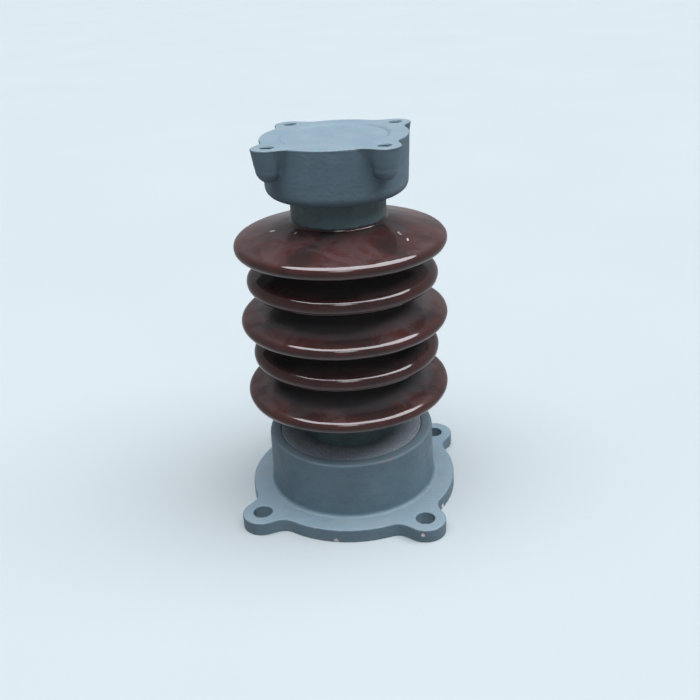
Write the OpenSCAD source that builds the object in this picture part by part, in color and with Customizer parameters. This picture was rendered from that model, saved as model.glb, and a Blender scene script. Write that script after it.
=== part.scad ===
// Station post insulator: a glazed porcelain column with five sheds, cemented into a
// cast iron cap at the top and a cast iron base flange with four ears.
// Millimetres, +Z up. The origin is the centre of the base flange's underside.

/* [Overall] */
// Height from the underside of the base to the top face of the cap
total_h = 363; // [358:1:372]

/* [Base flange] */
// Radius of the round plate
plate_r = 104.5; // [101:0.5:108]
// Thickness of the plate and its ears
plate_t = 14; // [12:0.5:16]
// Diameter of the circle that the bolt holes stand on
base_pcd = 225; // [219:1:231]
// Radius of a bolt hole
base_hole_r = 9; // [6:0.5:11]
// Radius of an ear's rounded end
ear_r = 20; // [17:0.5:22]
// Radius that blends an ear into the plate
ear_blend_r = 14; // [8:1:18]
// Outer radius of the cup where it meets the plate
cup_foot_r = 83.6; // [83:0.1:86]
// Outer radius of the cup at its rim
cup_rim_r = 82.3; // [81:0.1:83]
// Height of the cup's rim above the underside
cup_h = 71.5; // [68:0.5:74]
// Radius of the cup's mouth
cup_mouth_r = 71; // [69:0.5:72]
// Depth of the relief in the underside
base_relief_d = 2; // [1:0.5:3]
// Radius of the relief in the underside
base_relief_r = 62; // [40:1:75]

/* [Cap] */
// Height of the cap
cap_h = 50.5; // [48:0.1:54]
// Radius of the cap at its top face
cap_top_r = 66.4; // [66:0.1:68]
// Radius of the cap's wall just above its bottom edge
cap_low_r = 64.4; // [63:0.1:66]
// Radius of the cap's rounded bottom edge
cap_edge_r = 9; // [6:0.5:10]
// Radius of the cap's mouth
cap_mouth_r = 53.5; // [51:0.5:54]
// Diameter of the circle that the tapped holes stand on
top_pcd = 140; // [138:1:142]
// Drilled radius of a tapped hole, for M12
top_hole_r = 5.1; // [4.2:0.1:6]
// Depth of a tapped hole
top_hole_d = 22; // [16:1:23]
// Radius of a lug at the top face
lug_r = 14.5; // [13:0.5:16]
// Radius that blends a lug into the wall
lug_blend_r = 12; // [8:1:16]
// Depth of the shallow round recess in the top face
cap_recess_d = 1.5; // [0.5:0.1:3]
// Radius of the shallow round recess
cap_recess_r = 50; // [40:1:54]

/* [Porcelain] */
// Radius of the column just above the base's cement
column_low_r = 46; // [44:0.5:48]
// Radius of the column between the sheds
column_r = 45; // [44:0.5:46]
// Radius of the column's neck and head
column_top_r = 43.4; // [42:0.1:45]
// Radius of the enlarged foot that stands in the base's cup
foot_r = 57; // [52:0.5:60]
// Height of the foot's straight, sanded stretch
foot_straight_h = 32; // [26:1:36]

/* [Sheds] */
// Number of sheds, large ones at both ends and in between
shed_count = 5; // [3:2:5]
// Radius of a large shed
shed_big_r = 98.5; // [94:0.5:102]
// Radius of a small shed
shed_small_r = 89.8; // [84:0.1:93]
// Height of the lowest shed's lip
shed_low_z = 120.1; // [118:0.1:124]
// Distance from one shed to the next at the column
shed_pitch = 36.8; // [35:0.1:37]
// Slope of a shed's top, in degrees
shed_top_slope = 15; // [12:0.5:17]
// Slope of a shed's underside, in degrees
shed_under_slope = 6; // [2:0.5:9]
// Radius of a large shed's rounded lip
lip_big_r = 6.6; // [5.5:0.1:7.5]
// Radius of a small shed's rounded lip
lip_small_r = 8; // [6:0.1:8.5]
// Radius of the fillet where a shed's top meets the column
root_r = 4; // [3:0.5:5]
// Radius of the fillet where a shed's underside meets the column
under_root_r = 4; // [3:0.5:5]

/* [Joints] */
// Thickness of the cushion at each end of the porcelain
pad_t = 2; // [1:0.5:3]
// Thickness of the porcelain grit fired onto each end
sand_t = 1.2; // [0.8:0.1:2]
// Thickness of the bitumen coat over the grit
bitumen_t = 0.6; // [0.4:0.1:1]
// Thickness of the bitumen coat that lines each iron socket
lining_t = 0.8; // [0.4:0.1:1.2]
// Thickness of the sealing varnish over the bare cement
seal_t = 0.8; // [0.4:0.1:1.2]
// Thickness of the grey paint that runs onto the porcelain
paint_t = 0.4; // [0.2:0.1:0.6]
// How far the paint reaches up the column, measured from the cement
foot_paint_h = 20; // [12:1:26]

/* [Hidden] */
$fn = 96;
EPS = 1;

// Iron that closes each socket: the base's floor and the cap's roof
SOCKET_FLOOR_T = 12;
CAP_ROOF_T = 15;
SOCKET_UNDERCUT = 3.5;
LIP_STRAIGHT = 5;
UNDERCUT_RUN = 6;

cap_z = total_h - cap_h;
head_z = total_h - CAP_ROOF_T - cap_recess_d - pad_t;
cap_ceiling_z = head_z + pad_t;
foot_z = SOCKET_FLOOR_T + pad_t;
foot_shoulder_z = foot_z + foot_straight_h;
column_z = foot_shoulder_z + (foot_r - column_low_r);

// The cement stops short of each mouth, and the varnish covers it
CEMENT_SET_BACK = 0.5;
cup_cement_z = cup_h - CEMENT_SET_BACK - seal_t;
cap_cement_z = cap_z + CEMENT_SET_BACK + seal_t;

// The grit bands stop short of the porcelain's ends
BAND_MARGIN = 3;
foot_band = [foot_z + BAND_MARGIN, foot_shoulder_z - BAND_MARGIN];
head_band = [cap_cement_z + BAND_MARGIN, head_z - BAND_MARGIN];
COAT_MARGIN = 1;

function shed_r(i) = i % 2 == 0 ? shed_big_r : shed_small_r;

// The sheds leave the column at an even pitch, so a shorter one ends higher up
function lip_z(i) =
    shed_low_z + i * shed_pitch + (shed_big_r - shed_r(i)) * tan(shed_top_slope);
function lip_r(i) = i % 2 == 0 ? lip_big_r : lip_small_r;
function lip_at(i) = [shed_r(i) - lip_r(i), lip_z(i)];
function wall_above(i) = i == shed_count - 1 ? column_top_r : column_r;
function wall_below(i) = i == 0 ? column_low_r : column_r;

// Which way a shed's top (side 1) or underside (side -1) faces
function face_normal(side) =
    side > 0
        ? [sin(shed_top_slope), cos(shed_top_slope)]
        : [-sin(shed_under_slope), -cos(shed_under_slope)];

// ---- Outlines that turn about the axis: x is the radius, y is the height ----

module ring_outline(inner_r, outer_r, low_z, high_z) {
    translate([inner_r, low_z]) square([outer_r - inner_r, high_z - low_z]);
}

// Where a shed's top (side 1) or underside (side -1) leaves its round lip
function edge_at(i, side) = lip_at(i) + lip_r(i) * face_normal(side);

// Centres of the fillets between a shed and the column above and below it
function top_fillet(i) =
    let (edge = edge_at(i, 1), wall = wall_above(i))
    [
        wall + root_r,
        edge.y + (edge.x - wall) * tan(shed_top_slope)
            + root_r * (1 - sin(shed_top_slope)) / cos(shed_top_slope)
    ];
function under_fillet(i) =
    let (edge = edge_at(i, -1), wall = wall_below(i))
    [
        wall + under_root_r,
        edge.y + (edge.x - wall) * tan(shed_under_slope)
            - under_root_r * (1 + sin(shed_under_slope)) / cos(shed_under_slope)
    ];

// One shed: square corners at the column, and the fillets cut from them
module shed_outline(i) {
    buried_r = column_top_r - EPS;
    difference() {
        union() {
            polygon([
                [buried_r, top_fillet(i).y],
                top_fillet(i),
                top_fillet(i) - root_r * face_normal(1),
                edge_at(i, 1),
                lip_at(i),
                edge_at(i, -1),
                under_fillet(i) - under_root_r * face_normal(-1),
                under_fillet(i),
                [buried_r, under_fillet(i).y]
            ]);
            translate(lip_at(i)) circle(lip_r(i));
        }
        translate(top_fillet(i)) circle(root_r);
        translate(under_fillet(i)) circle(under_root_r);
    }
}

// The column, with its enlarged foot and straight head. Its radius changes inside the
// lowest and the highest shed, where no step shows
module column_outline() {
    polygon([
        [0, foot_z],
        [foot_r, foot_z],
        [foot_r, foot_shoulder_z],
        [column_low_r, column_z],
        [column_low_r, lip_z(0)],
        [column_r, lip_z(0)],
        [column_r, lip_z(shed_count - 1)],
        [column_top_r, lip_z(shed_count - 1)],
        [column_top_r, head_z],
        [0, head_z]
    ]);
}

// The hollow of the cup, or with a gap the hollow left inside its lining
module cup_socket_outline(gap = 0) {
    mouth = cup_mouth_r - gap;
    inside = mouth + SOCKET_UNDERCUT;
    polygon([
        [0, SOCKET_FLOOR_T],
        [inside, SOCKET_FLOOR_T],
        [inside, cup_h - LIP_STRAIGHT - UNDERCUT_RUN],
        [mouth, cup_h - LIP_STRAIGHT],
        [mouth, cup_h + EPS],
        [0, cup_h + EPS]
    ]);
}

module cap_socket_outline(gap = 0) {
    mouth = cap_mouth_r - gap;
    inside = mouth + SOCKET_UNDERCUT;
    polygon([
        [0, cap_z - EPS],
        [mouth, cap_z - EPS],
        [mouth, cap_z + LIP_STRAIGHT],
        [inside, cap_z + LIP_STRAIGHT + UNDERCUT_RUN],
        [inside, cap_ceiling_z],
        [0, cap_ceiling_z]
    ]);
}

// ---- Outlines seen from above ----

// The concave corner between a disc and a lug that stands across its edge: the
// triangle between the centres of three circles that touch, less the blend circle
module blend_outline(disc_r, end_r, pitch_r, blend_r) {
    to_disc = disc_r + blend_r;
    to_lug = end_r + blend_r;
    along = (pitch_r ^ 2 + to_disc ^ 2 - to_lug ^ 2) / (2 * pitch_r);
    across = sqrt(to_disc ^ 2 - along ^ 2);
    difference() {
        polygon([[0, 0], [pitch_r, 0], [along, across]]);
        translate([along, across]) circle(blend_r);
    }
}

module both_blends(disc_r, end_r, pitch_r, blend_r) {
    blend_outline(disc_r, end_r, pitch_r, blend_r);
    mirror([0, 1]) blend_outline(disc_r, end_r, pitch_r, blend_r);
}

module at_corners() {
    for (turn = [45:90:315]) {
        rotate(turn) children();
    }
}

// ---- Iron fittings ----

RIM_ROUND_R = 3;
CUP_FOOT_FILLET_R = 3;

// The cup's wall and floor, with a rounded rim and a fillet at the plate
module cup_outline() {
    polygon([
        [0, 0],
        [cup_foot_r, 0],
        [cup_foot_r, plate_t],
        [cup_rim_r, cup_h - RIM_ROUND_R],
        [cup_rim_r - RIM_ROUND_R, cup_h - RIM_ROUND_R],
        [cup_rim_r - RIM_ROUND_R, cup_h],
        [0, cup_h]
    ]);
    translate([cup_rim_r - RIM_ROUND_R, cup_h - RIM_ROUND_R]) circle(RIM_ROUND_R);
    difference() {
        translate([cup_foot_r - EPS, plate_t - EPS])
            square(CUP_FOOT_FILLET_R + EPS);
        translate([cup_foot_r + CUP_FOOT_FILLET_R, plate_t + CUP_FOOT_FILLET_R])
            circle(CUP_FOOT_FILLET_R);
    }
}

module base_flange() {
    color("#6d8493") difference() {
        union() {
            linear_extrude(plate_t) {
                circle(plate_r);
                at_corners() {
                    translate([base_pcd / 2, 0]) circle(ear_r);
                    both_blends(plate_r, ear_r, base_pcd / 2, ear_blend_r);
                }
            }
            rotate_extrude() cup_outline();
        }
        rotate_extrude() cup_socket_outline();
        translate([0, 0, -EPS]) cylinder(r = base_relief_r, h = base_relief_d + EPS);
        at_corners() translate([base_pcd / 2, 0, -EPS])
            cylinder(r = base_hole_r, h = plate_t + 2 * EPS);
    }
}

// The cap's top is a slab of even outline, which stands a little proud of what is below:
// lugs that taper like drops to rounded ends, and a wall that leans in downwards
SLAB_T = 7;
SLAB_STEP = 0.5;
LUG_TAPER_H = 13;
LUG_TIP_R = 11.5;
LUG_BLEND_H = 17;
slab_z = total_h - SLAB_T;
lug_low_r = lug_r - SLAB_STEP;

module cap_slab() {
    translate([0, 0, slab_z]) linear_extrude(SLAB_T) {
        circle(cap_top_r);
        at_corners() {
            translate([top_pcd / 2, 0]) circle(lug_r);
            both_blends(cap_top_r, lug_r, top_pcd / 2, lug_blend_r);
        }
    }
}

// The rounded end is a ball in four straight steps
module lug() {
    lean = atan((lug_low_r - LUG_TIP_R) / LUG_TAPER_H);
    taper_z = slab_z - LUG_TAPER_H;
    ball_r = LUG_TIP_R / cos(lean);
    ball_z = taper_z + LUG_TIP_R * tan(lean);
    ball_points = [
        for (turn = [0:22.5:67.5]) [ball_r * sin(turn), ball_z - ball_r * cos(turn)]
    ];
    rotate_extrude() polygon(concat(
        [[0, slab_z]],
        ball_points,
        [[LUG_TIP_R, taper_z], [lug_low_r, slab_z]]
    ));
}

// The blends beside a lug fade out downwards, inside a cone about the lug
module lug_blends() {
    intersection() {
        translate([0, 0, slab_z - LUG_BLEND_H]) linear_extrude(LUG_BLEND_H) both_blends(
            cap_top_r - SLAB_STEP, lug_low_r, top_pcd / 2, lug_blend_r + SLAB_STEP
        );
        translate([top_pcd / 2, 0, slab_z - LUG_BLEND_H])
            cylinder(r1 = LUG_TIP_R - EPS, r2 = lug_r + 1.4 * lug_blend_r, h = LUG_BLEND_H);
    }
}

module cap_wall_outline() {
    edge = [cap_low_r - cap_edge_r, cap_z + cap_edge_r];
    polygon([
        [0, cap_z],
        [edge.x, cap_z],
        edge,
        [cap_low_r, edge.y],
        [cap_top_r - SLAB_STEP, slab_z],
        [0, slab_z]
    ]);
    translate(edge) circle(cap_edge_r);
}

module top_cap() {
    color("#5f7885") difference() {
        union() {
            cap_slab();
            rotate_extrude() cap_wall_outline();
            at_corners() {
                translate([top_pcd / 2, 0, 0]) lug();
                lug_blends();
            }
        }
        rotate_extrude() cap_socket_outline();
        translate([0, 0, total_h - cap_recess_d])
            cylinder(r = cap_recess_r, h = cap_recess_d + EPS);
        at_corners() translate([top_pcd / 2, 0, total_h - top_hole_d])
            cylinder(r = top_hole_r, h = top_hole_d + EPS);
    }
}

// ---- Porcelain ----

module porcelain_body() {
    color("#4a2224") {
        rotate_extrude() column_outline();
        for (i = [0:shed_count - 1]) {
            rotate_extrude() shed_outline(i);
        }
    }
}

// ---- What holds the porcelain in the iron ----

module grit_ring(r, band) {
    ring_outline(r, r + sand_t, band[0], band[1]);
}

// The coat covers the grit's face and both its edges
module coated_ring(r, band) {
    ring_outline(r, r + sand_t + bitumen_t, band[0] - COAT_MARGIN, band[1] + COAT_MARGIN);
}

module top_sand_band() {
    color("#b9a894") rotate_extrude() grit_ring(column_top_r, head_band);
}

module base_sand_band() {
    color("#b9a894") rotate_extrude() grit_ring(foot_r, foot_band);
}

module top_bitumen_coat() {
    color("#1b1a1a") rotate_extrude() difference() {
        coated_ring(column_top_r, head_band);
        grit_ring(column_top_r, head_band);
    }
}

module base_bitumen_coat() {
    color("#1b1a1a") rotate_extrude() difference() {
        coated_ring(foot_r, foot_band);
        grit_ring(foot_r, foot_band);
    }
}

module cap_socket_lining() {
    color("#1b1a1a") rotate_extrude() difference() {
        cap_socket_outline();
        cap_socket_outline(lining_t);
        ring_outline(0, cap_top_r, cap_z - 2 * EPS, cap_cement_z);
    }
}

module cup_socket_lining() {
    color("#1b1a1a") rotate_extrude() difference() {
        cup_socket_outline();
        cup_socket_outline(lining_t);
        ring_outline(0, cup_rim_r, cup_cement_z, cup_h + 2 * EPS);
    }
}

module top_end_pad() {
    color("#a88a5c") translate([0, 0, head_z]) cylinder(r = column_top_r, h = pad_t);
}

module base_end_pad() {
    color("#a88a5c") translate([0, 0, SOCKET_FLOOR_T]) cylinder(r = foot_r, h = pad_t);
}

module top_cement() {
    color("#8b8884") rotate_extrude() difference() {
        cap_socket_outline(lining_t);
        ring_outline(0, column_top_r, cap_z - 2 * EPS, cap_ceiling_z + EPS);
        ring_outline(0, cap_top_r, cap_z - 2 * EPS, cap_cement_z);
        coated_ring(column_top_r, head_band);
    }
}

module base_cement() {
    color("#8b8884") rotate_extrude() difference() {
        cup_socket_outline(lining_t);
        column_outline();
        ring_outline(0, foot_r, SOCKET_FLOOR_T - EPS, foot_z + EPS);
        ring_outline(0, cup_rim_r, cup_cement_z, cup_h + 2 * EPS);
        coated_ring(foot_r, foot_band);
    }
}

module top_joint_seal() {
    color("#5a5862") rotate_extrude()
        ring_outline(column_top_r + paint_t, cap_mouth_r, cap_cement_z - seal_t, cap_cement_z);
}

module base_joint_seal() {
    color("#6b6870") rotate_extrude()
        ring_outline(column_low_r + paint_t, cup_mouth_r, cup_cement_z, cup_cement_z + seal_t);
}

// The paint reaches down to the fillet of the highest shed
module neck_paint() {
    low_z = top_fillet(shed_count - 1).y;
    color("#3e5154") rotate_extrude()
        ring_outline(column_top_r, column_top_r + paint_t, low_z, cap_cement_z);
}

module foot_paint() {
    color("#333f41") rotate_extrude()
        ring_outline(column_low_r, column_low_r + paint_t, cup_cement_z, cup_h + foot_paint_h);
}

porcelain_body();
top_cap();
base_flange();
top_cement();
base_cement();
top_sand_band();
base_sand_band();
top_end_pad();
base_end_pad();
top_bitumen_coat();
base_bitumen_coat();
cap_socket_lining();
cup_socket_lining();
top_joint_seal();
base_joint_seal();
neck_paint();
foot_paint();
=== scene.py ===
"""Looks of the porcelain post insulator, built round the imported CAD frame. Metres, +Z up."""

import math

import bmesh
import bpy
import numpy as np
from mathutils import Matrix, Vector


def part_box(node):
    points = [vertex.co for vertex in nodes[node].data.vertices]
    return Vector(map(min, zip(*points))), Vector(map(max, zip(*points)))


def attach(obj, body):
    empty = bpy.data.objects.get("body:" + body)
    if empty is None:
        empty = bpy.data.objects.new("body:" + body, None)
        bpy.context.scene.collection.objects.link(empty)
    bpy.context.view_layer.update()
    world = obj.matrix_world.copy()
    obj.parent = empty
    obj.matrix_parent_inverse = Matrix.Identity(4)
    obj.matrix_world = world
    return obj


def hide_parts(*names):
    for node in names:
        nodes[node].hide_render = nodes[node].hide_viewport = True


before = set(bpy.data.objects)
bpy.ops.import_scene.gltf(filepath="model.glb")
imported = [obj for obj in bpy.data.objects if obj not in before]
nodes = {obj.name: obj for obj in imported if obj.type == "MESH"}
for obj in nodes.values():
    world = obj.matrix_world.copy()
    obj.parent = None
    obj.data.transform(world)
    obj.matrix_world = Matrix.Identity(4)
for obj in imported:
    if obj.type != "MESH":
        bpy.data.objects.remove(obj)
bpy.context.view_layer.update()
MM = 0.001

# ---- Sizes, as in the CAD source ----

# Sheds, counted from the lowest: large and small by turns
SHED_COUNT = 5
SHED_R = (98.5 * MM, 89.8 * MM)
LIP_R = (6.6 * MM, 8.0 * MM)
LOWEST_LIP_Z = 120.1 * MM
SHED_PITCH = 36.8 * MM
TOP_SLOPE = math.radians(15)
UNDER_SLOPE = math.radians(6)
ROOT_R = 4.0 * MM

# Column
FOOT_R = 57.0 * MM
FOOT_SHOULDER_Z = 46.0 * MM
COLUMN_LOW_R = 46.0 * MM
COLUMN_R = 45.0 * MM
COLUMN_TOP_R = 43.4 * MM

# Base casting
PLATE_R = 104.5 * MM
PLATE_T = 14.0 * MM
EAR_PITCH_R = 112.5 * MM
EAR_R = 20.0 * MM
EAR_HOLE_R = 9.0 * MM
EAR_BLEND_R = 14.0 * MM
CUP_FOOT_R = 83.6 * MM
CUP_RIM_R = 82.3 * MM
CUP_MOUTH_R = 71.0 * MM
UNDER_RELIEF_R = 62.0 * MM
UNDER_RELIEF_DEPTH = 2.0 * MM

# Cap casting
CAP_TOP_R = 66.4 * MM
CAP_LOW_R = 64.4 * MM
CAP_EDGE_R = 9.0 * MM
CAP_MOUTH_R = 53.5 * MM
CAP_ROOF_T = 15.0 * MM
CAP_HOLE_PITCH_R = 70.0 * MM
CAP_HOLE_R = 5.1 * MM
CAP_HOLE_DEPTH = 22.0 * MM
CAP_RECESS_R = 50.0 * MM
CAP_RECESS_DEPTH = 1.5 * MM
LUG_R = 14.5 * MM
LUG_TIP_R = 11.5 * MM
LUG_TAPER_H = 18.0 * MM
LUG_BLEND_R = 12.0 * MM
LUG_TIP_BLEND_R = 2.5 * MM

# Sockets of both castings
SOCKET_FLOOR_T = 12.0 * MM
SOCKET_UNDERCUT = 3.5 * MM
SOCKET_LIP = 5.0 * MM
UNDERCUT_RUN = 6.0 * MM

cap_low, cap_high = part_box("top_cap")
base_low, base_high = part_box("base_flange")
porcelain_low, porcelain_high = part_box("porcelain_body")


# ---- Random relief ----


def ripple(points, wavelength, seed, waves=28):
    """A smooth random field over points, mostly within -1 to 1, with bumps of that wavelength."""
    rng = np.random.default_rng(seed)
    axes = rng.normal(size=(waves, 3))
    axes /= np.linalg.norm(axes, axis=1)[:, None]
    axes *= (2 * math.pi / wavelength * rng.uniform(0.7, 1.4, waves))[:, None]
    phases = rng.uniform(0, 2 * math.pi, waves)
    return np.cos(points @ axes.T + phases).sum(axis=1) / math.sqrt(2 * waves)


def around(turns, seed, cycles):
    """A random curve over an angle, about -1 to 1, that closes on itself."""
    rng = np.random.default_rng(seed)
    total = np.zeros_like(turns)
    for cycle in cycles:
        total += rng.uniform(0.4, 1) * np.cos(cycle * turns + rng.uniform(0, 2 * math.pi))
    return total / math.sqrt(len(cycles))


def spot_mask(points, centre, radius, seed):
    """1 inside a small spot with a ragged outline, 0 outside it."""
    away = np.linalg.norm(points - np.array(centre), axis=1)
    ragged = radius * (1 + 0.35 * ripple(points, radius * 1.3, seed))
    return np.clip((ragged - away) / (0.45 * radius) + 0.5, 0, 1)


def on_side(turn_deg, radius, height):
    """The point at that angle about the axis, in millimetres."""
    turn = math.radians(turn_deg)
    return (radius * math.cos(turn) * MM, radius * math.sin(turn) * MM, height * MM)


# ---- Meshes ----


def get_points(mesh):
    values = np.empty(len(mesh.vertices) * 3, np.float32)
    mesh.vertices.foreach_get("co", values)
    return values.reshape(-1, 3).astype(float)


def get_normals(mesh):
    values = np.empty(len(mesh.vertices) * 3, np.float32)
    mesh.vertex_normals.foreach_get("vector", values)
    return values.reshape(-1, 3).astype(float)


def set_points(mesh, points):
    mesh.vertices.foreach_set("co", points.astype(np.float32).ravel())
    mesh.update()


def set_attribute(mesh, name, values):
    attribute = mesh.attributes.new(name, "FLOAT", "POINT")
    attribute.data.foreach_set("value", values.astype(np.float32))


def add_piece(name, mesh, materials, stands_for):
    """Puts a mesh in the scene, on the part's body, in place of the CAD nodes it stands for."""
    mesh.shade_smooth()
    mesh.materials.clear()
    for material in materials:
        mesh.materials.append(material)
    piece = bpy.data.objects.new(name, mesh)
    bpy.context.scene.collection.objects.link(piece)
    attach(piece, "root")
    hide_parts(*stands_for)


def arc(centre, radius, start_deg, end_deg, step=0.6 * MM):
    """Points of (radius, height) along an arc."""
    sweep = math.radians(end_deg - start_deg)
    count = max(4, round(abs(sweep) * radius / step))
    angles = math.radians(start_deg) + np.linspace(0, sweep, count + 1)
    return np.stack([centre[0] + radius * np.cos(angles), centre[1] + radius * np.sin(angles)], 1)


def line(start, end, step=1.5 * MM):
    """Points between two others, without the ends."""
    start, end = np.array(start, float), np.array(end, float)
    count = max(1, round(float(np.linalg.norm(end - start)) / step))
    return start + (end - start) * (np.arange(1, count) / count)[:, None]


def full_turn(steps):
    return np.arange(steps) * (2 * math.pi / steps)


def round_axis(radius, turns, height):
    """Points from their distance to the axis, their angle about it and their height."""
    x, y, z = np.broadcast_arrays(radius * np.cos(turns), radius * np.sin(turns), height)
    return np.stack([x, y, z], axis=-1)


def turned_grid(profile, steps):
    """Points of a profile turned about the axis, as [place on the profile, step round, xyz]."""
    radius, height = profile[:, :1], profile[:, 1:]
    return round_axis(radius, full_turn(steps), height)


def grid_mesh(name, grid, closed):
    """A mesh over a turned grid: a ring if its profile is closed, or a solid with flat ends."""
    rings, steps = grid.shape[:2]
    index = np.arange(rings * steps).reshape(rings, steps)
    lower = index if closed else index[:-1]
    upper = np.roll(index, -1, axis=0) if closed else index[1:]
    quads = np.stack(
        [lower, np.roll(lower, -1, axis=1), np.roll(upper, -1, axis=1), upper], axis=-1
    ).reshape(-1, 4)
    faces = quads.tolist()
    if not closed:
        faces.append(index[0][::-1].tolist())
        faces.append(index[-1].tolist())
    mesh = bpy.data.meshes.new(name)
    mesh.from_pydata(grid.reshape(-1, 3), [], faces)
    mesh.update()
    return mesh


# ---- Materials ----


class Finish:
    """A procedural material on one principled shader, with textures in the object's own metres."""

    def __init__(self, name, **constants):
        self.material = bpy.data.materials.new(name)
        self.material.use_nodes = True
        self.tree = self.material.node_tree
        self.shader = self.tree.nodes["Principled BSDF"]
        for socket, value in constants.items():
            self.shader.inputs[socket.replace("_", " ")].default_value = value
        self.place = self.tree.nodes.new("ShaderNodeTexCoord").outputs["Object"]

    def add(self, kind, inputs=None, **settings):
        made = self.tree.nodes.new("ShaderNode" + kind)
        for key, value in settings.items():
            setattr(made, key, value)
        for key, value in (inputs or {}).items():
            if isinstance(value, bpy.types.NodeSocket):
                self.tree.links.new(value, made.inputs[key])
            else:
                made.inputs[key].default_value = value
        return made

    def noise(self, size, detail=3.0, rough=0.5, warp=0.0, stretch=(1, 1, 1)):
        """Noise with patches about size metres across, 0 to 1."""
        place = self.add("Mapping", {"Vector": self.place, "Scale": stretch}).outputs[0]
        return self.add("TexNoise", {
            "Vector": place, "Scale": 1 / size, "Detail": detail,
            "Roughness": rough, "Distortion": warp,
        }).outputs["Fac"]

    def grains(self, size):
        """Distance to the nearest grain, for grit of size metres."""
        inputs = {"Vector": self.place, "Scale": 1 / size}
        return self.add("TexVoronoi", inputs).outputs["Distance"]

    def ramp(self, fac, low, high, start=0.0, end=1.0):
        """fac from low to high, stretched to start to end."""
        return self.add("MapRange", {
            "Value": fac, "From Min": low, "From Max": high, "To Min": start, "To Max": end,
        }).outputs["Result"]

    def mix(self, fac, first, second):
        made = self.add("Mix", data_type="RGBA", clamp_factor=True)
        for key, value in (("Factor_Float", fac), ("A_Color", first), ("B_Color", second)):
            socket = next(s for s in made.inputs if s.identifier == key)
            if isinstance(value, bpy.types.NodeSocket):
                self.tree.links.new(value, socket)
            elif isinstance(value, tuple):
                socket.default_value = (*value, 1.0)
            else:
                socket.default_value = value
        return next(s for s in made.outputs if s.identifier == "Result_Color")

    def calc(self, operation, first, second):
        return self.add("Math", {0: first, 1: second}, operation=operation).outputs[0]

    def own(self, attribute):
        return self.add("Attribute", attribute_name=attribute).outputs["Fac"]

    def facing_up(self):
        """The z part of the surface's normal."""
        normal = self.add("NewGeometry").outputs["Normal"]
        return self.add("SeparateXYZ", {"Vector": normal}).outputs["Z"]

    def bump(self, *layers):
        """layers are (height, distance in metres), the coarsest first."""
        normal = None
        for height, distance in layers:
            inputs = {"Height": height, "Distance": distance, "Strength": 1.0}
            if normal is not None:
                inputs["Normal"] = normal
            normal = self.add("Bump", inputs).outputs["Normal"]
        self.tree.links.new(normal, self.shader.inputs["Normal"])

    def set(self, socket, value):
        self.tree.links.new(value, self.shader.inputs[socket])


def make_glaze():
    """Dark brown glaze: smoother and redder on the lips, with pale dust and painted sheen on
    up-facing faces and a painted grey lift for stray light in the shaded gaps under the sheds.
    """
    f = Finish("brown_glaze", IOR=1.52, Specular_IOR_Level=0.5)
    clouds = f.noise(40 * MM, 2, 0.5, 0.5)
    streaks = f.noise(12 * MM, 3, 0.55, 0.4)
    specks = f.noise(1.3 * MM, 2)
    colour = f.mix(f.ramp(clouds, 0.4, 0.6), (0.015, 0.0082, 0.0078), (0.032, 0.0098, 0.0088))
    thin = f.calc("MULTIPLY", f.own("thin_glaze"), f.ramp(streaks, 0.35, 0.62, 0.1, 1.0))
    colour = f.mix(thin, colour, (0.032, 0.0108, 0.0095))
    colour = f.mix(f.ramp(specks, 0.66, 0.76, 0.0, 0.4), colour, (0.006, 0.004, 0.004))
    haze = f.noise(38 * MM, 4, 0.62, 1.0)
    # Pale smear on up-facing glaze, partly dust and partly painted sheen
    dust_smear_and_sheen = f.calc("MULTIPLY", f.ramp(haze, 0.46, 0.56, 0.01, 0.045), f.ramp(f.facing_up(), 0.5, 1))
    # Pale dust with painted sheen on up-facing glaze, plus the painted grey lift for stray light in
    # the shaded gaps
    dust_and_painted_light = f.calc("ADD", dust_smear_and_sheen, f.calc("MULTIPLY", f.own("painted_gap_light"), 0.34))
    colour = f.mix(dust_and_painted_light, colour, (0.26, 0.29, 0.30))
    colour = f.mix(f.own("chipped"), colour, (0.30, 0.29, 0.29))
    f.set("Base Color", colour)
    smoother = f.calc("MULTIPLY", f.own("thin_glaze"), -0.07)
    rough = f.calc("ADD", f.ramp(haze, 0.44, 0.58, 0.12, 0.2), smoother)
    f.set("Roughness", f.calc("ADD", rough, f.calc("MULTIPLY", f.own("chipped"), 0.5)))
    f.bump((f.noise(11 * MM, 2), 0.05 * MM), (specks, 0.004 * MM))
    return f.material


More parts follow.
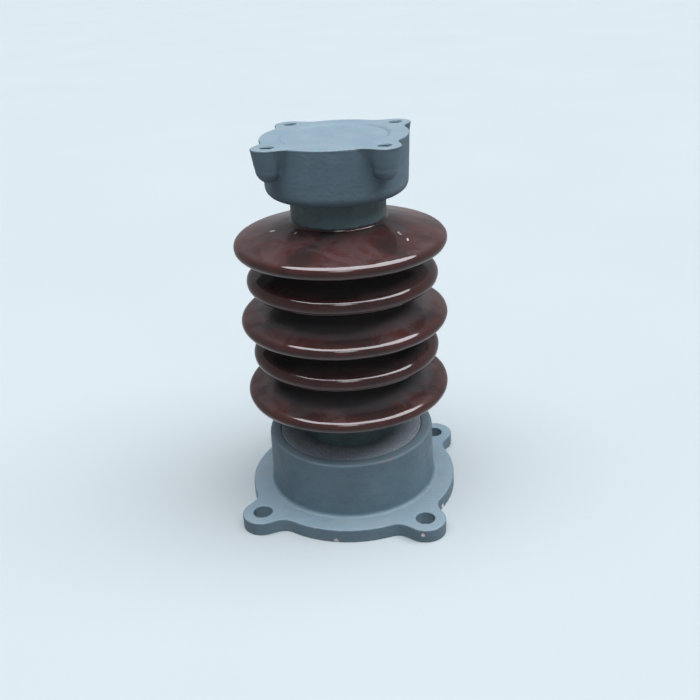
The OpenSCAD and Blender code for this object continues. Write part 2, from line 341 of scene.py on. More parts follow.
def make_paint(name, light, dark):
    """Blue-grey paint brushed over sand-cast iron, with rust and filler where it is knocked."""
    f = Finish(name, IOR=1.45, Specular_IOR_Level=0.4)
    patches = f.noise(35 * MM, 4, 0.6, 0.4)
    grain = f.noise(2.6 * MM, 4, 0.6)
    peel = f.noise(0.9 * MM, 2, 0.5)
    strokes = f.noise(8 * MM, 4, 0.6, 0.3, (0.35, 0.35, 2.2))
    colour = f.mix(f.ramp(patches, 0.3, 0.7), light, dark)
    colour = f.mix(f.ramp(strokes, 0.5, 0.75, 0.0, 0.3), colour, (0.05, 0.068, 0.072))
    colour = f.mix(f.ramp(grain, 0.6, 0.74, 0.0, 0.4), colour, (0.04, 0.05, 0.053))
    # Pale dust on up-facing faces, which also stands in as a painted sheen on the tops
    dust_and_painted_light = f.calc("MULTIPLY", f.ramp(f.facing_up(), 0.8, 1), f.ramp(patches, 0.3, 0.7, 0.04, 0.14))
    colour = f.mix(dust_and_painted_light, colour, (0.36, 0.37, 0.36))
    knocks = f.ramp(f.noise(5 * MM, 5, 0.65), 0.58, 0.66)
    edge = f.calc("MULTIPLY", f.ramp(f.own("edge"), 0.25, 0.6), knocks)
    colour = f.mix(edge, colour, (0.17, 0.15, 0.13))
    colour = f.mix(f.own("chipped"), colour, (0.45, 0.42, 0.40))
    rust = f.calc("MULTIPLY", f.own("rusty"), f.ramp(f.noise(3 * MM, 4), 0.4, 0.6))
    colour = f.mix(rust, colour, (0.15, 0.075, 0.045))
    f.set("Base Color", colour)
    f.set("Roughness", f.ramp(f.calc("ADD", grain, patches), 0.7, 1.3, 0.4, 0.62))
    f.bump((strokes, 0.12 * MM), (grain, 0.22 * MM), (peel, 0.05 * MM))
    return f.material


def make_coat_paint(name, light, dark):
    """The iron's paint, brushed onto porcelain."""
    f = Finish(name, IOR=1.45, Specular_IOR_Level=0.4)
    strokes = f.noise(7 * MM, 4, 0.55, 0.8, (1, 1, 2.5))
    streaks = f.noise(22 * MM, 3, 0.6, 0.5, (1, 1, 0.3))
    colour = f.mix(f.ramp(streaks, 0.3, 0.7), light, dark)
    colour = f.mix(f.ramp(strokes, 0.55, 0.8, 0.0, 0.4), colour, (0.03, 0.035, 0.036))
    f.set("Base Color", colour)
    f.set("Roughness", f.ramp(strokes, 0.3, 0.7, 0.32, 0.55))
    f.bump((strokes, 0.15 * MM), (f.noise(1.5 * MM, 2), 0.04 * MM))
    return f.material


def make_varnish():
    """Matt sealing varnish over grainy cement, darkened towards the column as painted shade."""
    f = Finish("joint_varnish", IOR=1.45, Specular_IOR_Level=0.25)
    grit = f.grains(1.4 * MM)
    patches = f.noise(14 * MM, 4, 0.6, 0.5)
    colour = f.mix(f.ramp(patches, 0.35, 0.65), (0.225, 0.27, 0.305), (0.275, 0.33, 0.37))
    colour = f.mix(f.ramp(grit, 0.3, 0.6, 0.0, 0.6), colour, (0.15, 0.155, 0.18))
    # Painted shade: the varnish is darker next to the column
    colour = f.mix(f.own("painted_shade_at_column"), colour, (0.13, 0.155, 0.165))
    f.set("Base Color", colour)
    f.set("Roughness", f.ramp(patches, 0.3, 0.7, 0.6, 0.85))
    f.bump((patches, 0.4 * MM), (grit, 0.25 * MM))
    return f.material


def make_cement():
    f = Finish("portland_cement", IOR=1.45, Specular_IOR_Level=0.2)
    grit = f.grains(1.1 * MM)
    patches = f.noise(12 * MM, 5, 0.6)
    colour = f.mix(f.ramp(patches, 0.3, 0.7), (0.20, 0.195, 0.185), (0.33, 0.32, 0.30))
    colour = f.mix(f.ramp(grit, 0.1, 0.3, 0.6, 0.0), colour, (0.12, 0.11, 0.10))
    f.set("Base Color", colour)
    f.set("Roughness", f.ramp(patches, 0.2, 0.8, 0.75, 0.95))
    f.bump((patches, 0.5 * MM), (grit, 0.3 * MM))
    return f.material


def make_grit():
    """Crushed porcelain fired onto the glaze."""
    f = Finish("fired_grit", IOR=1.5, Specular_IOR_Level=0.4)
    grit = f.grains(1.6 * MM)
    colour = f.mix(f.ramp(grit, 0.1, 0.6), (0.62, 0.56, 0.47), (0.22, 0.14, 0.10))
    f.set("Base Color", colour)
    f.set("Roughness", f.ramp(grit, 0.0, 0.7, 0.35, 0.8))
    f.bump((grit, 0.7 * MM))
    return f.material


def make_bitumen():
    f = Finish("bitumen", IOR=1.6, Specular_IOR_Level=0.4)
    runs = f.noise(6 * MM, 4, 0.6, 0.8, (1, 1, 0.5))
    colour = f.mix(f.ramp(runs, 0.35, 0.7), (0.009, 0.008, 0.008), (0.022, 0.02, 0.018))
    f.set("Base Color", colour)
    f.set("Roughness", f.ramp(runs, 0.3, 0.7, 0.25, 0.55))
    f.bump((runs, 0.3 * MM))
    return f.material


def make_cork():
    f = Finish("pressed_cork", IOR=1.45, Specular_IOR_Level=0.2)
    grit = f.grains(2.4 * MM)
    colour = f.mix(f.ramp(grit, 0.1, 0.6), (0.44, 0.28, 0.14), (0.20, 0.11, 0.05))
    f.set("Base Color", colour)
    f.set("Roughness", f.ramp(grit, 0.1, 0.6, 0.7, 0.95))
    f.bump((grit, 0.3 * MM))
    return f.material


def make_thread_with_hole_shade():
    """Greasy, rusty threads of the tapped holes, darkened nearly to black as painted shade inside the
    holes.
    """
    f = Finish("tapped_iron_hole_shade", IOR=1.5, Specular_IOR_Level=0.3)
    stain = f.noise(2.5 * MM, 4, 0.6)
    # Near-black colours: painted shade inside the holes, on top of the dark grease
    colour = f.mix(f.ramp(stain, 0.4, 0.65), (0.006, 0.0055, 0.005), (0.016, 0.010, 0.008))
    f.set("Base Color", colour)
    f.set("Roughness", f.ramp(stain, 0.3, 0.7, 0.45, 0.8))
    f.bump((stain, 0.05 * MM))
    return f.material


# ---- Porcelain ----


def shed_profile(number):
    """One shed's outline from the column below it, round its lip, to the column above it.
    Returns points of (radius, height), and how thin the glaze runs at each."""
    size = number % 2
    lip_r = LIP_R[size]
    rise = (SHED_R[0] - SHED_R[size]) * math.tan(TOP_SLOPE)
    lip = np.array([SHED_R[size] - lip_r, LOWEST_LIP_Z + number * SHED_PITCH + rise])
    wall_low = COLUMN_LOW_R if number == 0 else COLUMN_R
    wall_top = COLUMN_TOP_R if number == SHED_COUNT - 1 else COLUMN_R
    under = lip - lip_r * np.array([math.sin(UNDER_SLOPE), math.cos(UNDER_SLOPE)])
    over = lip + lip_r * np.array([math.sin(TOP_SLOPE), math.cos(TOP_SLOPE)])
    under_root = (
        wall_low + ROOT_R,
        under[1] + (under[0] - wall_low) * math.tan(UNDER_SLOPE)
        - ROOT_R * (1 + math.sin(UNDER_SLOPE)) / math.cos(UNDER_SLOPE),
    )
    top_root = (
        wall_top + ROOT_R,
        over[1] + (over[0] - wall_top) * math.tan(TOP_SLOPE)
        + ROOT_R * (1 - math.sin(TOP_SLOPE)) / math.cos(TOP_SLOPE),
    )
    top_deg, under_deg = 90 - math.degrees(TOP_SLOPE), 90 - math.degrees(UNDER_SLOPE)
    first = arc(under_root, ROOT_R, 180, under_deg)
    round_lip = arc(lip, lip_r, under_deg - 180, top_deg)
    last = arc(top_root, ROOT_R, 180 + top_deg, 180)
    stretches = [
        (first, 0.0), (line(first[-1], round_lip[0]), 0.0), (round_lip, 1.0),
        (line(round_lip[-1], last[0]), 0.0), (last, 0.0),
    ]
    points = np.concatenate([stretch for stretch, _ in stretches])
    thin = np.concatenate([np.full(len(stretch), value) for stretch, value in stretches])
    return points, thin


def blur(values, passes):
    for _ in range(passes):
        values = (np.roll(values, 1) + values + np.roll(values, -1)) / 3
    return values


# Where the glaze is broken: angle in degrees, radius and height in millimetres, size
GLAZE_CHIPS = [
    (-26, 64, 281.8, 0.9),
    (-27.5, 66, 281.2, 1.0),
    (-29, 75, 278.8, 0.9),
    (-30.5, 76.5, 278.4, 1.1),
    (-131, 51, 285.2, 1.1),
    (-158, 61, 282.4, 1.3),
    (-160, 63, 281.8, 1.2),
    (63, 98.2, 195.0, 1.3),
    (118, 89.0, 233.0, 1.2),
]
PORCELAIN_STEPS = 512
# The flat in the middle of each end, where the turned faces stop
END_POLE_R = 2 * MM
# How far the rims wave up and down, how wavy the glaze is, and how deep a chip is
SHED_SAG = 0.25 * MM
GLAZE_WAVE, GLAZE_RIPPLE = 0.11 * MM, 0.02 * MM
CHIP_DEPTH = 0.5 * MM
# The painted grey lift, standing in for stray light in the shaded gaps under the sheds, lies inside
# of this distance from the axis, and at its thickest this much further in
GAP_LIGHT_EDGE_R, GAP_LIGHT_FADE = 86 * MM, 30 * MM


def build_porcelain(glaze):
    """The column and its sheds in one turned solid, a little uneven as fired ware is."""
    foot = [(END_POLE_R, porcelain_low.z), (FOOT_R, porcelain_low.z), (FOOT_R, FOOT_SHOULDER_Z)]
    cone_top = (COLUMN_LOW_R, FOOT_SHOULDER_Z + FOOT_R - COLUMN_LOW_R)
    points, thin = [np.array(foot), np.array([cone_top])], [np.zeros(4)]
    for number in range(SHED_COUNT):
        shed, shed_thin = shed_profile(number)
        between = line(points[-1][-1], shed[0])
        points += [between, shed]
        thin += [np.zeros(len(between)), shed_thin]
    neck = line(points[-1][-1], (COLUMN_TOP_R, porcelain_high.z))
    ends = np.array([(COLUMN_TOP_R, porcelain_high.z), (END_POLE_R, porcelain_high.z)])
    points = np.concatenate(points + [neck, ends])
    thin = blur(np.concatenate(thin + [np.zeros(len(neck) + 2)]), 5)

    grid = turned_grid(points, PORCELAIN_STEPS)
    reach = np.clip((points[:, 0] - COLUMN_LOW_R) / (SHED_R[0] - COLUMN_LOW_R), 0, 1) ** 2
    above_foot = points[:, 1] > cone_top[1]
    sag = SHED_SAG * around(full_turn(PORCELAIN_STEPS), 11, (1, 2, 3))
    grid[:, :, 2] += np.outer(reach * above_foot, sag)

    mesh = grid_mesh("porcelain", grid, closed=False)
    co, normals = get_points(mesh), get_normals(mesh)
    lift = GLAZE_WAVE * ripple(co, 26 * MM, 12) + GLAZE_RIPPLE * ripple(co, 9 * MM, 13)
    chipped = np.zeros(len(co))
    for number, (turn, radius, height, size) in enumerate(GLAZE_CHIPS):
        spot = spot_mask(co, on_side(turn, radius, height), size * MM, 20 + number)
        chipped = np.maximum(chipped, spot)
    lift -= CHIP_DEPTH * chipped
    set_points(mesh, co + normals * lift[:, None])
    set_attribute(mesh, "thin_glaze", np.repeat(thin, PORCELAIN_STEPS))
    # Painted grey lift on the glaze in the shaded gaps below the top shed, standing in for stray
    # light there
    covered = points[:, 1] < LOWEST_LIP_Z + (SHED_COUNT - 1) * SHED_PITCH
    painted_gap_light = covered * np.clip((GAP_LIGHT_EDGE_R - points[:, 0]) / GAP_LIGHT_FADE, 0, 1)
    set_attribute(mesh, "painted_gap_light", np.repeat(painted_gap_light, PORCELAIN_STEPS))
    set_attribute(mesh, "chipped", chipped)
    add_piece("porcelain", mesh, [glaze], ["porcelain_body"])


# ---- Castings ----


# A shape is a function that says how far outside it each point is, in metres. Points come
# with their height z, their distance r from the axis, and their distance from the nearest
# corner's lug or ear.


def union_round(first, second, radius):
    """Both shapes, with a fillet of that radius where they meet."""
    return np.maximum(radius, np.minimum(first, second)) - np.hypot(
        np.maximum(radius - first, 0), np.maximum(radius - second, 0)
    )


def common_round(first, second, radius):
    """What two shapes have in common, with an outer edge of that radius where they meet."""
    return np.minimum(-radius, np.maximum(first, second)) + np.hypot(
        np.maximum(radius + first, 0), np.maximum(radius + second, 0)
    )


def cut_round(shape, tool, radius):
    return common_round(shape, -tool, radius)


def cylindrical(points, pitch_r):
    """Each point's distance from the axis, from the nearest corner at pitch_r, and height."""
    x, y = np.abs(points[..., 0]), np.abs(points[..., 1])
    corner = pitch_r * math.sqrt(0.5)
    return np.hypot(x, y), np.hypot(x - corner, y - corner), points[..., 2]


def socket(r, from_mouth, mouth_r, depth):
    """The hollow that holds the cement, from_mouth being the way in from its mouth."""
    widening = SOCKET_UNDERCUT * np.clip((from_mouth - SOCKET_LIP) / UNDERCUT_RUN, 0, 1)
    return np.maximum(r - mouth_r - widening, from_mouth - depth)


def cap_shape(points):
    r, from_lug, z = cylindrical(points, CAP_HOLE_PITCH_R)
    low, top = cap_low.z, cap_high.z
    wall = r - CAP_LOW_R - (CAP_TOP_R - CAP_LOW_R) * (z - low) / (top - low)
    tip_z = top - LUG_TAPER_H
    taper = np.clip((z - tip_z) / LUG_TAPER_H, 0, 1)
    lug = np.hypot(from_lug, np.minimum(z - tip_z, 0))
    lug -= LUG_TIP_R + (LUG_R - LUG_TIP_R) * taper**0.8
    blend = LUG_TIP_BLEND_R + (LUG_BLEND_R - LUG_TIP_BLEND_R) * taper**1.5
    shape = common_round(union_round(wall, lug, blend), low - z, CAP_EDGE_R)
    shape = common_round(shape, z - top, 1.1 * MM)
    recess = np.maximum(r - CAP_RECESS_R - 2.0 * (z - top), top - CAP_RECESS_DEPTH - z)
    shape = cut_round(shape, recess, 1.2 * MM)
    hole = np.maximum(from_lug - BORE_R, top - CAP_HOLE_DEPTH - z)
    shape = cut_round(shape, hole, 0.25 * MM)
    depth = top - low - CAP_ROOF_T - CAP_RECESS_DEPTH
    return cut_round(shape, socket(r, z - low, CAP_MOUTH_R, depth), 1.5 * MM)


def base_shape(points):
    r, from_ear, z = cylindrical(points, EAR_PITCH_R)
    top = base_high.z
    plate = common_round(
        union_round(r - PLATE_R, from_ear - EAR_R, EAR_BLEND_R), z - PLATE_T, 1.3 * MM
    )
    rise = (z - PLATE_T) / (top - PLATE_T)
    cup = r - CUP_FOOT_R + (CUP_FOOT_R - CUP_RIM_R) * np.clip(rise, 0, 1)
    shape = union_round(plate, common_round(cup, z - top, 2.6 * MM), 3.5 * MM)
    shape = common_round(shape, -z, 0.8 * MM)
    shape = cut_round(shape, from_ear - EAR_HOLE_R, 0.9 * MM)
    relief = np.maximum(r - UNDER_RELIEF_R, z - UNDER_RELIEF_DEPTH)
    shape = cut_round(shape, relief, 0.8 * MM)
    return cut_round(shape, socket(r, top - z, CUP_MOUTH_R, top - SOCKET_FLOOR_T), 1.2 * MM)


CELL_CORNERS = [(i, j, k) for i in (0, 1) for j in (0, 1) for k in (0, 1)]
CELL_EDGES = [
    (first, second)
    for first in range(8) for second in range(first + 1, 8)
    if sum(a != b for a, b in zip(CELL_CORNERS[first], CELL_CORNERS[second])) == 1
]


def skin(name, shape, low, high, cell):
    """A closed mesh over a shape: one point in each cell that its surface crosses, moved onto
    that surface, and one face for each cell edge that it crosses."""
    axes = [np.arange(low[n] - 1.5 * cell, high[n] + 2.5 * cell, cell) for n in range(3)]
    value = shape(np.stack(np.meshgrid(*axes, indexing="ij"), axis=-1))
    inside = value < 0
    size = np.array(inside.shape)
    counts = sum(
        inside[i:size[0] - 1 + i, j:size[1] - 1 + j, k:size[2] - 1 + k].astype(np.int8)
        for i, j, k in CELL_CORNERS
    )
    cells = np.argwhere((counts > 0) & (counts < 8))
    index = np.full(size - 1, -1)
    index[tuple(cells.T)] = np.arange(len(cells))

    corners = np.array(CELL_CORNERS)
    at = [value[tuple((cells + corner).T)] for corner in corners]
    total, crossings = np.zeros((len(cells), 3)), np.zeros(len(cells))
    for first, second in CELL_EDGES:
        crossed = (at[first] < 0) != (at[second] < 0)
        share = np.where(crossed, at[first] / (at[first] - at[second] + 1e-15), 0)[:, None]
        place = corners[first] + share * (corners[second] - corners[first])
        total += place * crossed[:, None]
        crossings += crossed
    start = np.array([axis[0] for axis in axes])
    points = start + cell * (cells + total / crossings[:, None])
    for _ in range(3):
        points -= step_to_surface(shape, points, cell)

    faces = []
    for axis in range(3):
        beside, above = np.eye(3, dtype=int)[(axis + 1) % 3], np.eye(3, dtype=int)[(axis + 2) % 3]
        near = np.take(inside, range(size[axis] - 1), axis)
        far = np.take(inside, range(1, size[axis]), axis)
        place = np.argwhere(near != far)
        outward = near[tuple(place.T)]
        quad = np.stack([
            index[tuple((place - offset).T)]
            for offset in (beside + above, above, 0 * above, beside)
        ], axis=1)
        faces.append(np.where(outward[:, None], quad, quad[:, ::-1]))
    mesh = bpy.data.meshes.new(name)
    mesh.from_pydata(points, [], np.concatenate(faces).tolist())
    mesh.update()
    return mesh


def step_to_surface(shape, points, cell):
    """One step from points towards where shape is zero."""
    probe = 0.1 * cell
    slope = np.stack([
        (shape(points + probe * way) - shape(points - probe * way)) / (2 * probe)
        for way in np.eye(3)
    ], axis=-1)
    step = (shape(points) / np.maximum((slope**2).sum(axis=-1), 0.25))[:, None] * slope
    return np.clip(step, -0.5 * cell, 0.5 * cell)


def edge_sharpness(mesh, co, normals):
    """How far each point stands out from its neighbours, 0 on a flat and about 1 on an edge."""
    pairs = np.empty(len(mesh.edges) * 2, np.int32)
    mesh.edges.foreach_get("vertices", pairs)
    first, second = pairs.reshape(-1, 2).T
    step = co[second] - co[first]
    step /= np.linalg.norm(step, axis=1)[:, None] + 1e-12
    total, count = np.zeros(len(co)), np.zeros(len(co))
    np.add.at(total, first, -(step * normals[first]).sum(axis=1))
    np.add.at(total, second, (step * normals[second]).sum(axis=1))
    np.add.at(count, first, 1)
    np.add.at(count, second, 1)
    values = total / np.maximum(count, 1)
    for _ in range(3):
        spread = np.zeros(len(co))
        np.add.at(spread, first, values[second])
        np.add.at(spread, second, values[first])
        values = spread / np.maximum(count, 1)
    return np.clip(values * 5, 0, 1)


CAST_RELIEF = 0.16 * MM
KNOCK_DEPTH = 0.7 * MM
CASTING_CHIP_DEPTH = 0.8 * MM


def spots_mask(points, spots, seed):
    """spot_mask over several spots, each an on_side place and a size in millimetres."""
    mask = np.zeros(len(points))
    for place, size in spots:
        mask = np.maximum(mask, spot_mask(points, on_side(*place), size * MM, seed))
    return mask


def weather(mesh, flat, chips, rust, seed):
    """Sand-cast unevenness, always inwards, with knocks; flat says where a face was machined."""
    co, normals = get_points(mesh), get_normals(mesh)
    edge = edge_sharpness(mesh, co, normals)
    relief = 0.6 * ripple(co, 16 * MM, seed) + 0.4 * ripple(co, 5 * MM, seed + 1)
    depth = CAST_RELIEF * (1 - np.clip(relief, -1, 1)) * (1 - 0.85 * flat)
    knocks = np.clip(ripple(co, 9 * MM, seed + 2) - 0.75, 0, 1) * edge
    depth += KNOCK_DEPTH * knocks
    chipped, rusty = spots_mask(co, chips, seed + 10), spots_mask(co, rust, seed + 11)
    depth += CASTING_CHIP_DEPTH * chipped
    set_points(mesh, co - normals * depth[:, None])
    set_attribute(mesh, "edge", edge)
    set_attribute(mesh, "chipped", chipped)
    set_attribute(mesh, "rusty", rusty * (0.6 + 0.4 * ripple(co, 2.5 * MM, seed + 5)))


THREAD_PITCH = 1.75 * MM
THREAD_DEPTH = 0.75 * MM
THREAD_START = 0.3 * MM
COUNTERSINK = 1.0 * MM
COUNTERSINK_DEPTH = 1.2 * MM
# The casting's plain holes, each of which holds a lining with the thread
BORE_R = 6.1 * MM
LINING_T = 0.5 * MM


def add_threads(shape, top_z):
    """Four tapped holes' linings, with M12 threads and a countersunk mouth."""
    rings_per_turn = 8
    depth = CAP_HOLE_DEPTH - 1 * MM
    rings = round(depth / THREAD_PITCH * rings_per_turn)
    heights = (top_z - THREAD_START - depth * np.arange(rings + 1) / rings)[:, None]
    turns = full_turn(40)
    phase = (heights / THREAD_PITCH - turns / (2 * math.pi)) % 1
    crest = np.abs(2 * phase - 1)
    mouth = np.clip(1 - (heights[0] - heights) / COUNTERSINK_DEPTH, 0, 1)
    radius = CAP_HOLE_R + THREAD_DEPTH * crest + COUNTERSINK * mouth
    inner = round_axis(np.minimum(radius, BORE_R - 0.1 * MM), turns, heights)
    outer = round_axis(BORE_R + LINING_T, turns, heights[[-1, 0]])
    grid = np.concatenate([inner, outer])[::-1]
    for corner in (math.radians(turn) for turn in (45, 135, 225, 315)):
        middle = CAP_HOLE_PITCH_R * np.array([math.cos(corner), math.sin(corner), 0])
        lining = grid_mesh("lining", grid + middle, closed=True)
        first = len(shape.faces)
        shape.from_mesh(lining)
        shape.faces.ensure_lookup_table()
        for face in shape.faces[first:]:
            face.material_index = 1
        bpy.data.meshes.remove(lining)


# Chips and rust: (angle in degrees, radius and height in millimetres), size
CAP_CHIPS = [((-170, 66, 362), 1.6), ((214, 82, 359), 1.8)]
CAP_RUST = [((-102, 66, 362), 1.6), ((44, 84, 358), 2.4), ((120, 66, 352), 2.5)]


def build_cap(paint, thread):
    mesh = skin("cap_casting", cap_shape, cap_low, cap_high, 0.8 * MM)
    above = get_points(mesh)[:, 2] - (cap_high.z - 2.2 * MM)
    machined = np.clip(above / (1 * MM), 0, 1)
    weather(mesh, machined, CAP_CHIPS, CAP_RUST, 40)
    shape = bmesh.new()
    shape.from_mesh(mesh)
    add_threads(shape, cap_high.z)
    shape.to_mesh(mesh)
    shape.free()
    add_piece("cap_casting", mesh, [paint, thread], ["top_cap"])


BASE_CHIPS = [((-92, 104, 1), 2.6), ((-52, 127, 9), 1.8), ((-24, 104, 2), 2.4), ((150, 104, 12), 2.2)]
BASE_RUST = [
    ((-61, 81, 71), 3), ((-58, 82, 70), 3), ((-55, 81, 71), 2.5), ((110, 81, 70), 4),
    ((225, 118, 4), 8), ((135, 112, 3), 7),
]


def build_base(paint):
    mesh = skin("base_casting", base_shape, base_low, base_high, 0.95 * MM)
    underside = np.clip(1 - get_points(mesh)[:, 2] / (1 * MM), 0, 1)
    weather(mesh, underside, BASE_CHIPS, BASE_RUST, 60)
    add_piece("base_casting", mesh, [paint], ["base_flange"])


# ---- Paint and varnish on the porcelain ----


COAT_KEY = 0.6 * MM


def coat_ring(wall_r, low_z, high_z, thickness, ragged, seed, root_z=0.0):
    """A brushed coat round the column, which follows the fillet below root_z.
    ragged is how far its lower and its upper edge wander; an edge that doesn't is cut square.
    Its back lies COAT_KEY inside the porcelain."""
    rings, fade_share = 30, 0.1
    turns = full_turn(512)
    share = np.linspace(0, 1, rings)[:, None]
    low = low_z + ragged[0] * around(turns, seed, (3, 5, 8, 13, 21, 34))
    high = high_z + ragged[1] * around(turns, seed + 1, (2, 3, 5, 8, 13, 21))
    height = low + (high - low) * share
    low_fade = share / fade_share if ragged[0] else np.ones_like(share)
    high_fade = (1 - share) / fade_share if ragged[1] else np.ones_like(share)
    fade = np.sqrt(np.clip(np.minimum(low_fade, high_fade), 0, 1))
    into_root = np.clip(root_z - height, 0, 0.9 * ROOT_R)
    base_r = wall_r + ROOT_R - np.sqrt(ROOT_R**2 - into_root**2)
    wall = round_axis(wall_r, turns, height)
    lumps = ripple(wall.reshape(-1, 3), 6 * MM, seed + 2).reshape(height.shape)
    face = round_axis(base_r + thickness * fade * (0.85 + 0.15 * lumps), turns, height)
    back = round_axis(base_r[[-1, 0]] - COAT_KEY, turns, height[[-1, 0]])
    return np.concatenate([face, back])


def build_neck_paint(paint):
    low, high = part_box("neck_paint")
    thickness = (high.x - low.x) / 2 - COLUMN_TOP_R
    edge_z = low.z - 0.9 * MM
    grid = coat_ring(COLUMN_TOP_R, edge_z, high.z, thickness, (0.35 * MM, 0), 80, root_z=low.z)
    mesh = grid_mesh("neck_paint_coat", grid, closed=True)
    add_piece("neck_paint_coat", mesh, [paint], ["neck_paint"])


def build_foot_paint(paint):
    low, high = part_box("foot_paint")
    thickness = (high.x - low.x) / 2 - COLUMN_LOW_R
    grid = coat_ring(COLUMN_LOW_R, low.z, high.z, thickness, (0, 2.5 * MM), 90)
    mesh = grid_mesh("foot_paint_coat", grid, closed=True)
    add_piece("foot_paint_coat", mesh, [paint], ["foot_paint"])


SEAL_KEY = 0.3 * MM


def joint_ring(name, node, inner_r, face_up, seed):
    """Varnish trowelled between the iron and the column, a little higher at both walls."""
    steps, rings = 384, 36
    low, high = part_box(node)
    outer_r = (high.x - low.x) / 2
    share = np.linspace(0, 1, rings)
    radius = inner_r - SEAL_KEY + (outer_r + SEAL_KEY - inner_r) * share
    profile = np.stack([radius, np.zeros(rings)], axis=1)
    grid = turned_grid(profile, steps)
    flat = grid.reshape(-1, 3)
    lumps = 0.5 * ripple(flat, 11 * MM, seed) + 0.5 * ripple(flat, 3.5 * MM, seed + 1)
    thickness = high.z - low.z
    hollow = np.repeat(4 * share * (1 - share), steps)
    drop = thickness * (0.35 * hollow + 0.25 * (1 - np.clip(lumps, -1, 1)))
    face = grid.copy()
    face[:, :, 2] = ((high.z - drop) if face_up else (low.z + drop)).reshape(rings, steps)
    back = grid[[0, -1]].copy()
    back[:, :, 2] = low.z if face_up else high.z
    whole = np.concatenate([back[:1], face, back[1:]])
    if face_up:
        whole = whole[::-1]
    mesh = grid_mesh(name, whole, closed=True)
    co = get_points(mesh)
    away = np.linalg.norm(co[:, :2], axis=1) - inner_r
    wander = 1.2 * MM * ripple(co, 12 * MM, seed + 3)
    # Painted shade on the varnish, strongest at the column and fading out over about 11 mm
    set_attribute(mesh, "painted_shade_at_column", np.clip(1 - (away + wander) / (11 * MM), 0, 1) ** 1.5)
    return mesh


def build_joint_seals(varnish):
    for name, node, inner_r, face_up, seed in (
        ("base_joint_varnish", "base_joint_seal", COLUMN_LOW_R, True, 100),
        ("top_joint_varnish", "top_joint_seal", COLUMN_TOP_R, False, 110),
    ):
        mesh = joint_ring(name, node, inner_r, face_up, seed)
        add_piece(name, mesh, [varnish], [node])


# ---- The CAD nodes that stay ----


def dress_inner_layers():
    cement, grit, bitumen, cork = make_cement(), make_grit(), make_bitumen(), make_cork()
    finishes = {
        "top_cement": cement, "base_cement": cement,
        "top_sand_band": grit, "base_sand_band": grit,
        "top_bitumen_coat": bitumen, "base_bitumen_coat": bitumen,
        "cap_socket_lining": bitumen, "cup_socket_lining": bitumen,
        "top_end_pad": cork, "base_end_pad": cork,
    }
    for node, material in finishes.items():
        for slot in nodes[node].material_slots:
            slot.material = material


# ---- Stage ----

CAMERA_TURN = math.radians(9.1)
CAMERA_ELEVATION = math.radians(25.47)
CAMERA_ROLL = math.radians(-3.28)
CAMERA_DISTANCE = 0.8425
LOOK_AT = Vector((3.2 * MM, 0, 152.5 * MM))
SENSOR_W, LENS = 36.0, 44.1


def add_camera():
    camera = bpy.data.objects.new("camera", bpy.data.cameras.new("camera"))
    camera.data.sensor_width, camera.data.lens = SENSOR_W, LENS
    bpy.context.scene.collection.objects.link(camera)
    back = Vector((0, -math.cos(CAMERA_ELEVATION), math.sin(CAMERA_ELEVATION)))
    turn = Matrix.Rotation(CAMERA_TURN, 4, "Z")
    tilt = Matrix.Rotation(math.pi / 2 - CAMERA_ELEVATION, 4, "X")
    roll = Matrix.Rotation(CAMERA_ROLL, 4, "Z")
    place = Matrix.Translation(turn @ (LOOK_AT + CAMERA_DISTANCE * back))
    camera.matrix_world = place @ turn @ tilt @ roll
    bpy.context.scene.camera = camera


def add_floor():
    """A wide pale floor with a soft, even grain."""
    floor_r, steps, rings = 20.0, 96, 12
    radius = floor_r * (np.arange(rings) + 0.02) / (rings - 1 + 0.02)
    grid = turned_grid(np.stack([radius, np.zeros(rings)], axis=1), steps)
    index = np.arange(rings * steps).reshape(rings, steps)
    quads = np.stack([
        index[:-1], index[1:], np.roll(index[1:], -1, axis=1), np.roll(index[:-1], -1, axis=1)
    ], axis=-1).reshape(-1, 4)
    mesh = bpy.data.meshes.new("floor")
    mesh.from_pydata(grid.reshape(-1, 3), [], quads.tolist() + [index[0].tolist()])
    f = Finish("pale_floor", Specular_IOR_Level=0.1, Roughness=0.8)
    haze = f.noise(0.5, 2)
    f.set("Base Color", f.mix(haze, (0.20, 0.225, 0.23), (0.215, 0.24, 0.245)))
    mesh.materials.append(f.material)
    floor = bpy.data.objects.new("floor", mesh)
    bpy.context.scene.collection.objects.link(floor)
    floor.visible_diffuse = floor.visible_glossy = False


# Brightness of the studio's walls by the sine of the height above the horizon, and how much
# more of it comes from the camera's right than from straight ahead
WALLS = [(-1.0, 1.1), (-0.35, 0.38), (0.05, 0.33), (0.6, 0.24), (0.85, 0.22)]
RIGHT_SIDE_GAIN = 0.1

# The panel overhead is wide, has a clean edge, and leans a little to the right and the front
PANEL = 9.8
PANEL_SPREAD = math.radians(28)
PANEL_WIDENING = 0.5
PANEL_LEAN = Vector((0.12, -0.08, 1.0)).normalized()

# A second, smaller and dimmer light comes from above the camera
FRONT_GLOW = 6.0
FRONT_WAY = Vector((0.0, -1.0, 1.0)).normalized()
FRONT_SPREAD = math.radians(14)

LIGHT_COLOUR = (0.985, 0.995, 1.05)
BACKDROP = (0.80, 0.86, 0.90)


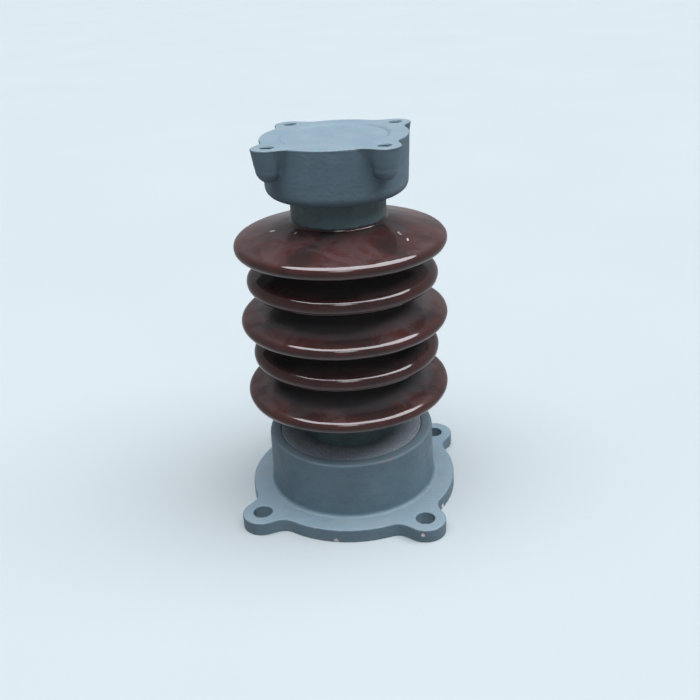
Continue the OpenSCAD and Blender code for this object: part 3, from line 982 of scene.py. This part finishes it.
def add_light():
    """A dome with one large soft panel overhead and dim walls; the camera sees a pale wall."""
    world = bpy.data.worlds.new("studio")
    world.use_nodes = True
    bpy.context.scene.world = world
    tree = world.node_tree
    tree.nodes.clear()

    def add(kind, *inputs, **settings):
        made = tree.nodes.new("ShaderNode" + kind)
        for key, value in settings.items():
            setattr(made, key, value)
        for number, value in enumerate(inputs):
            if isinstance(value, bpy.types.NodeSocket):
                tree.links.new(value, made.inputs[number])
            elif value is not None:
                made.inputs[number].default_value = value
        return made

    def towards(way, ways):
        return add("VectorMath", ways, way, operation="DOT_PRODUCT").outputs["Value"]

    def add_up(first, second):
        return add("Math", first, second, operation="ADD").outputs[0]

    # Directions as the camera's azimuth has them: x to its right, y away from it
    turned = add("Mapping", add("TexCoord").outputs["Generated"], vector_type="VECTOR")
    turned.inputs["Rotation"].default_value = (0, 0, -CAMERA_TURN)
    ways = turned.outputs[0]
    height = add("MapRange", towards((0, 0, 1), ways), -1.0, 1.0, 0.0, 1.0)
    walls = add("ValToRGB", height.outputs[0])
    stops = walls.color_ramp.elements
    for number, (sine, value) in enumerate(WALLS):
        place = (sine + 1) / 2
        stop = stops[number] if number < 2 else stops.new(place)
        stop.position = place
        stop.color = (value, value, value, 1.0)
    gain = add("MapRange", towards((1, 0, 0), ways), -1, 1, 1 - RIGHT_SIDE_GAIN, 1 + RIGHT_SIDE_GAIN)
    lit_walls = add("Math", walls.outputs["Color"], gain.outputs[0], operation="MULTIPLY")

    narrowed = add("VectorMath", ways, (PANEL_WIDENING, 1, 1), operation="MULTIPLY")
    narrowed = add("VectorMath", narrowed.outputs[0], operation="NORMALIZE").outputs[0]
    edge = math.cos(PANEL_SPREAD)
    panel = add("MapRange", towards(PANEL_LEAN, narrowed), edge - 0.01, edge + 0.01, 0.0, PANEL)
    glow = add(
        "MapRange", towards(FRONT_WAY, ways), math.cos(FRONT_SPREAD), 1.0, 0.0, FRONT_GLOW,
        interpolation_type="SMOOTHSTEP",
    )
    strength = add_up(add_up(lit_walls.outputs[0], panel.outputs[0]), glow.outputs[0])
    dome = add("Background", (*LIGHT_COLOUR, 1.0), strength)
    wall = add("Background", (*BACKDROP, 1.0), 1.0)
    seen = add("LightPath").outputs["Is Camera Ray"]
    blend = add("MixShader", seen, dome.outputs[0], wall.outputs[0])
    add("OutputWorld", blend.outputs[0])
    bpy.context.scene.view_settings.view_transform = "Standard"


# ---- Build ----

IRON_LIGHT, IRON_DARK = (0.074, 0.120, 0.149), (0.058, 0.097, 0.121)
COAT_LIGHT, COAT_DARK = (0.100, 0.160, 0.172), (0.068, 0.112, 0.120)

iron_paint = make_paint("blue_grey_paint", IRON_LIGHT, IRON_DARK)
coat_paint = make_coat_paint("brushed_paint", COAT_LIGHT, COAT_DARK)
build_porcelain(make_glaze())
build_cap(iron_paint, make_thread_with_hole_shade())
build_base(iron_paint)
build_neck_paint(coat_paint)
build_foot_paint(coat_paint)
build_joint_seals(make_varnish())
dress_inner_layers()
add_floor()
add_light()
add_camera()
